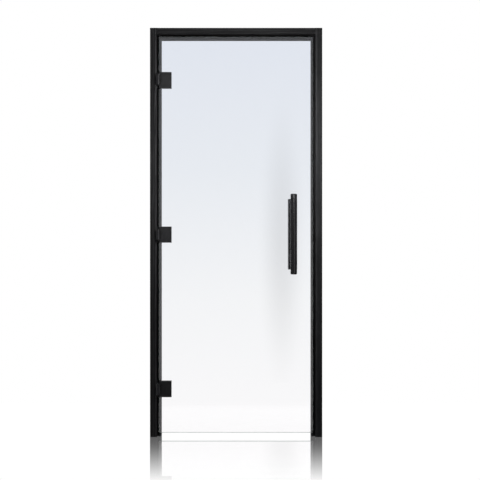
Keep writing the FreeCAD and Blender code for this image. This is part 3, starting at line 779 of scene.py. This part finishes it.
def backdrop_shade(centre, half_width, half_height, depth):
    """Soft upright shade on the backdrop, which shows through the pane only."""
    corners = [(centre[0] + across * half_width, centre[1], centre[2] + up * half_height)
               for across, up in ((-1, -1), (1, -1), (1, 1), (-1, 1))]
    card = flat_sheet("backdrop_shade", corners)
    hide_from(card, "camera", "diffuse", "glossy", "shadow")
    material, tree = new_material("soft_grey_shade")
    place = add(tree, "ShaderNodeTexCoord").outputs["Object"]
    scale = (1 / half_width, 1.0, 1 / half_height)
    offset = [-at * size for at, size in zip(centre, scale)]
    unit = add(tree, "ShaderNodeMapping", {
        "Vector": place, "Scale": scale, "Location": offset}).outputs["Vector"]
    apart = add(tree, "ShaderNodeVectorMath", {0: unit}, operation="LENGTH").outputs["Value"]
    clear = add(tree, "ShaderNodeMapRange", {
        "Value": apart, "To Min": 1.0 - depth, "To Max": 1.0},
        interpolation_type="SMOOTHSTEP").outputs["Result"]
    grey = add(tree, "ShaderNodeCombineColor", {"Red": clear, "Green": clear, "Blue": clear})
    veil = add(tree, "ShaderNodeBsdfTransparent", {"Color": grey.outputs["Color"]})
    add(tree, "ShaderNodeOutputMaterial", {"Surface": veil.outputs[0]})
    card.data.materials.append(material)


def studio_floor(ambient, satin, reach, strength):
    """White sheet whose mirror image of the door fades with the distance from it."""
    half = SHEET_HALF_WIDTH
    middle = DOOR_WIDTH / 2
    corners = [(middle - half, -half, 0), (middle + half, -half, 0),
               (middle + half, half, 0), (middle - half, half, 0)]
    floor = flat_sheet("studio_floor", corners)
    material, tree = new_material("white_gloss_sheet")
    place = add(tree, "ShaderNodeTexCoord").outputs["Object"]
    depth = add(tree, "ShaderNodeSeparateXYZ", {"Vector": place}).outputs["Y"]
    away = add(tree, "ShaderNodeMath", {0: depth}, operation="ABSOLUTE").outputs[0]
    part = add(tree, "ShaderNodeMapRange", {
        "Value": away, "From Min": -JAMB_LOW.y, "From Max": reach - JAMB_LOW.y}).outputs["Result"]
    square = add(tree, "ShaderNodeMath", {0: part, 1: part}, operation="MULTIPLY").outputs[0]
    mirror = add(tree, "ShaderNodeMapRange", {
        "Value": square, "To Min": strength, "To Max": 0.0}).outputs["Result"]
    white = (1.0, 1.0, 1.0, 1.0)
    level = add(tree, "ShaderNodeMapRange", {
        "Value": square, "To Min": SHEET_GLOW, "To Max": 1.0}).outputs["Result"]
    shine = add(tree, "ShaderNodeMapRange", {
        "Value": seen_rays(tree), "To Min": ambient, "To Max": level}).outputs["Result"]
    dimmed = add(tree, "ShaderNodeMix", {
        "Factor": satin_rays(tree), "A": shine, "B": satin}, data_type="FLOAT").outputs["Result"]
    glow = add(tree, "ShaderNodeEmission", {"Color": white, "Strength": dimmed})
    sheet = add(tree, "ShaderNodeBsdfDiffuse", {"Color": (0.8, 0.8, 0.8, 1.0)})
    share = add(tree, "ShaderNodeMapRange", {
        "Value": square, "To Min": SHEET_SHARE, "To Max": 0.0}).outputs["Result"]
    lit = add(tree, "ShaderNodeMixShader", {
        "Fac": share, 1: glow.outputs[0], 2: sheet.outputs[0]})
    gloss = add(tree, "ShaderNodeBsdfGlossy", {"Color": white, "Roughness": 0.0})
    both = add(tree, "ShaderNodeMixShader", {
        "Fac": mirror, 1: lit.outputs[0], 2: gloss.outputs[0]})
    add(tree, "ShaderNodeOutputMaterial", {"Surface": both.outputs[0]})
    floor.data.materials.append(material)


def softbox(name, place, aim, size, power):
    """Softbox that only lights: no mirror, satin surface or pane shows it."""
    light = bpy.data.lights.new(name, "AREA")
    light.shape = "RECTANGLE"
    light.size, light.size_y = size
    light.energy = power
    made = bpy.data.objects.new(name, light)
    made.location = place
    made.rotation_euler = (Vector(aim) - Vector(place)).to_track_quat("-Z", "Y").to_euler()
    hide_from(made, "camera", "glossy", "transmission")
    bpy.context.scene.collection.objects.link(made)


def shining_panel(name, place, aim, size, strength):
    """Glowing panel that also shines in satin surfaces, but not in the pane or the floor."""
    turn = (Vector(aim) - Vector(place)).to_track_quat("-Z", "Y")
    corners = [Vector(place) + turn @ Vector((across * size[0] / 2, up * size[1] / 2, 0.0))
               for across, up in ((-1, -1), (-1, 1), (1, 1), (1, -1))]
    panel = flat_sheet(name, corners)
    hide_from(panel, "camera", "transmission", "shadow")
    material, tree = new_material("panel_glow")
    rays = add(tree, "ShaderNodeLightPath").outputs
    back = add(tree, "ShaderNodeNewGeometry").outputs["Backfacing"]
    hidden = add(tree, "ShaderNodeMath", {0: rays["Is Singular Ray"], 1: back},
                 operation="MAXIMUM").outputs[0]
    glow = add(tree, "ShaderNodeEmission", {"Strength": strength})
    clear = add(tree, "ShaderNodeBsdfTransparent")
    both = add(tree, "ShaderNodeMixShader", {
        "Fac": hidden, 1: glow.outputs[0], 2: clear.outputs[0]})
    add(tree, "ShaderNodeOutputMaterial", {"Surface": both.outputs[0]})
    panel.data.materials.append(material)


class DOOR_OT_studio(bpy.types.Operator):
    """Sets up the floor, the light and the camera"""

    bl_idname = "sauna_door.studio"
    bl_label = "Studio"

    def execute(self, context):
        props = context.scene.door_studio
        studio_world(props.ambient, props.front_wall, props.side_walls, props.strip_light)
        studio_floor(props.ambient, props.side_walls, props.mirror_reach, props.mirror_strength)
        backdrop_shade((props.shade_x, props.shade_y, props.shade_z), props.shade_width / 2,
                       props.shade_height / 2, props.shade_depth)
        middle = (DOOR_WIDTH / 2, 0.0, DOOR_HEIGHT / 2)
        shining_panel("front_panel", FRONT_PANEL_PLACE, FRONT_PANEL_AIM, FRONT_PANEL_SIZE,
                      props.key_glow)
        softbox("back_softbox", BACK_SOFTBOX_PLACE, middle, BACK_SOFTBOX_SIZE, props.back_power)
        for name, side in (("left_softbox", -1), ("right_softbox", 1)):
            place = (middle[0] + side * SIDE_SOFTBOX_AWAY, SIDE_SOFTBOX_DEPTH,
                     SIDE_SOFTBOX_HEIGHT)
            softbox(name, place, middle, SIDE_SOFTBOX_SIZE, props.side_power)
        camera = bpy.data.cameras.new("photo_camera")
        camera.lens = props.lens
        camera.sensor_width = 36.0
        eye = bpy.data.objects.new("photo_camera", camera)
        eye.location = (props.camera_x, JAMB_LOW.y - props.camera_distance, props.camera_height)
        eye.rotation_euler = (math.radians(90.0), 0.0, 0.0)
        context.scene.collection.objects.link(eye)
        context.scene.camera = eye
        context.scene.view_settings.view_transform = "Standard"
        return {"FINISHED"}


class DOOR_PT_panel(bpy.types.Panel):
    """Lists the door's finishes and the steps that apply them"""

    bl_label = "Sauna door"
    bl_idname = "DOOR_PT_panel"
    bl_space_type = "VIEW_3D"
    bl_region_type = "UI"
    bl_category = "Sauna door"

    def draw(self, context):
        for group in (context.scene.door_finishes, context.scene.door_screws,
                      context.scene.door_clamp_screws, context.scene.door_studio):
            box = self.layout.box()
            for name in group.__annotations__:
                box.prop(group, name)
        for step in STEPS:
            self.layout.operator(step.bl_idname)


GROUPS = (DoorFinishes, DoorScrews, DoorClampScrews, DoorStudio)
STEPS = (DOOR_OT_timber_frame, DOOR_OT_seals, DOOR_OT_hinges, DOOR_OT_glass_leaf,
         DOOR_OT_pull_handle, DOOR_OT_studio)


def register():
    for cls in GROUPS + STEPS + (DOOR_PT_panel,):
        bpy.utils.register_class(cls)
    bpy.types.Scene.door_finishes = bpy.props.PointerProperty(type=DoorFinishes)
    bpy.types.Scene.door_screws = bpy.props.PointerProperty(type=DoorScrews)
    bpy.types.Scene.door_clamp_screws = bpy.props.PointerProperty(type=DoorClampScrews)
    bpy.types.Scene.door_studio = bpy.props.PointerProperty(type=DoorStudio)


def unregister():
    del bpy.types.Scene.door_studio
    del bpy.types.Scene.door_clamp_screws
    del bpy.types.Scene.door_screws
    del bpy.types.Scene.door_finishes
    for cls in reversed(GROUPS + STEPS + (DOOR_PT_panel,)):
        bpy.utils.unregister_class(cls)


def main():
    register()
    bpy.ops.sauna_door.timber_frame()
    bpy.ops.sauna_door.seals()
    bpy.ops.sauna_door.hinges()
    bpy.ops.sauna_door.glass_leaf()
    bpy.ops.sauna_door.pull_handle()
    bpy.ops.sauna_door.studio()


if __name__ == "__main__":
    main()
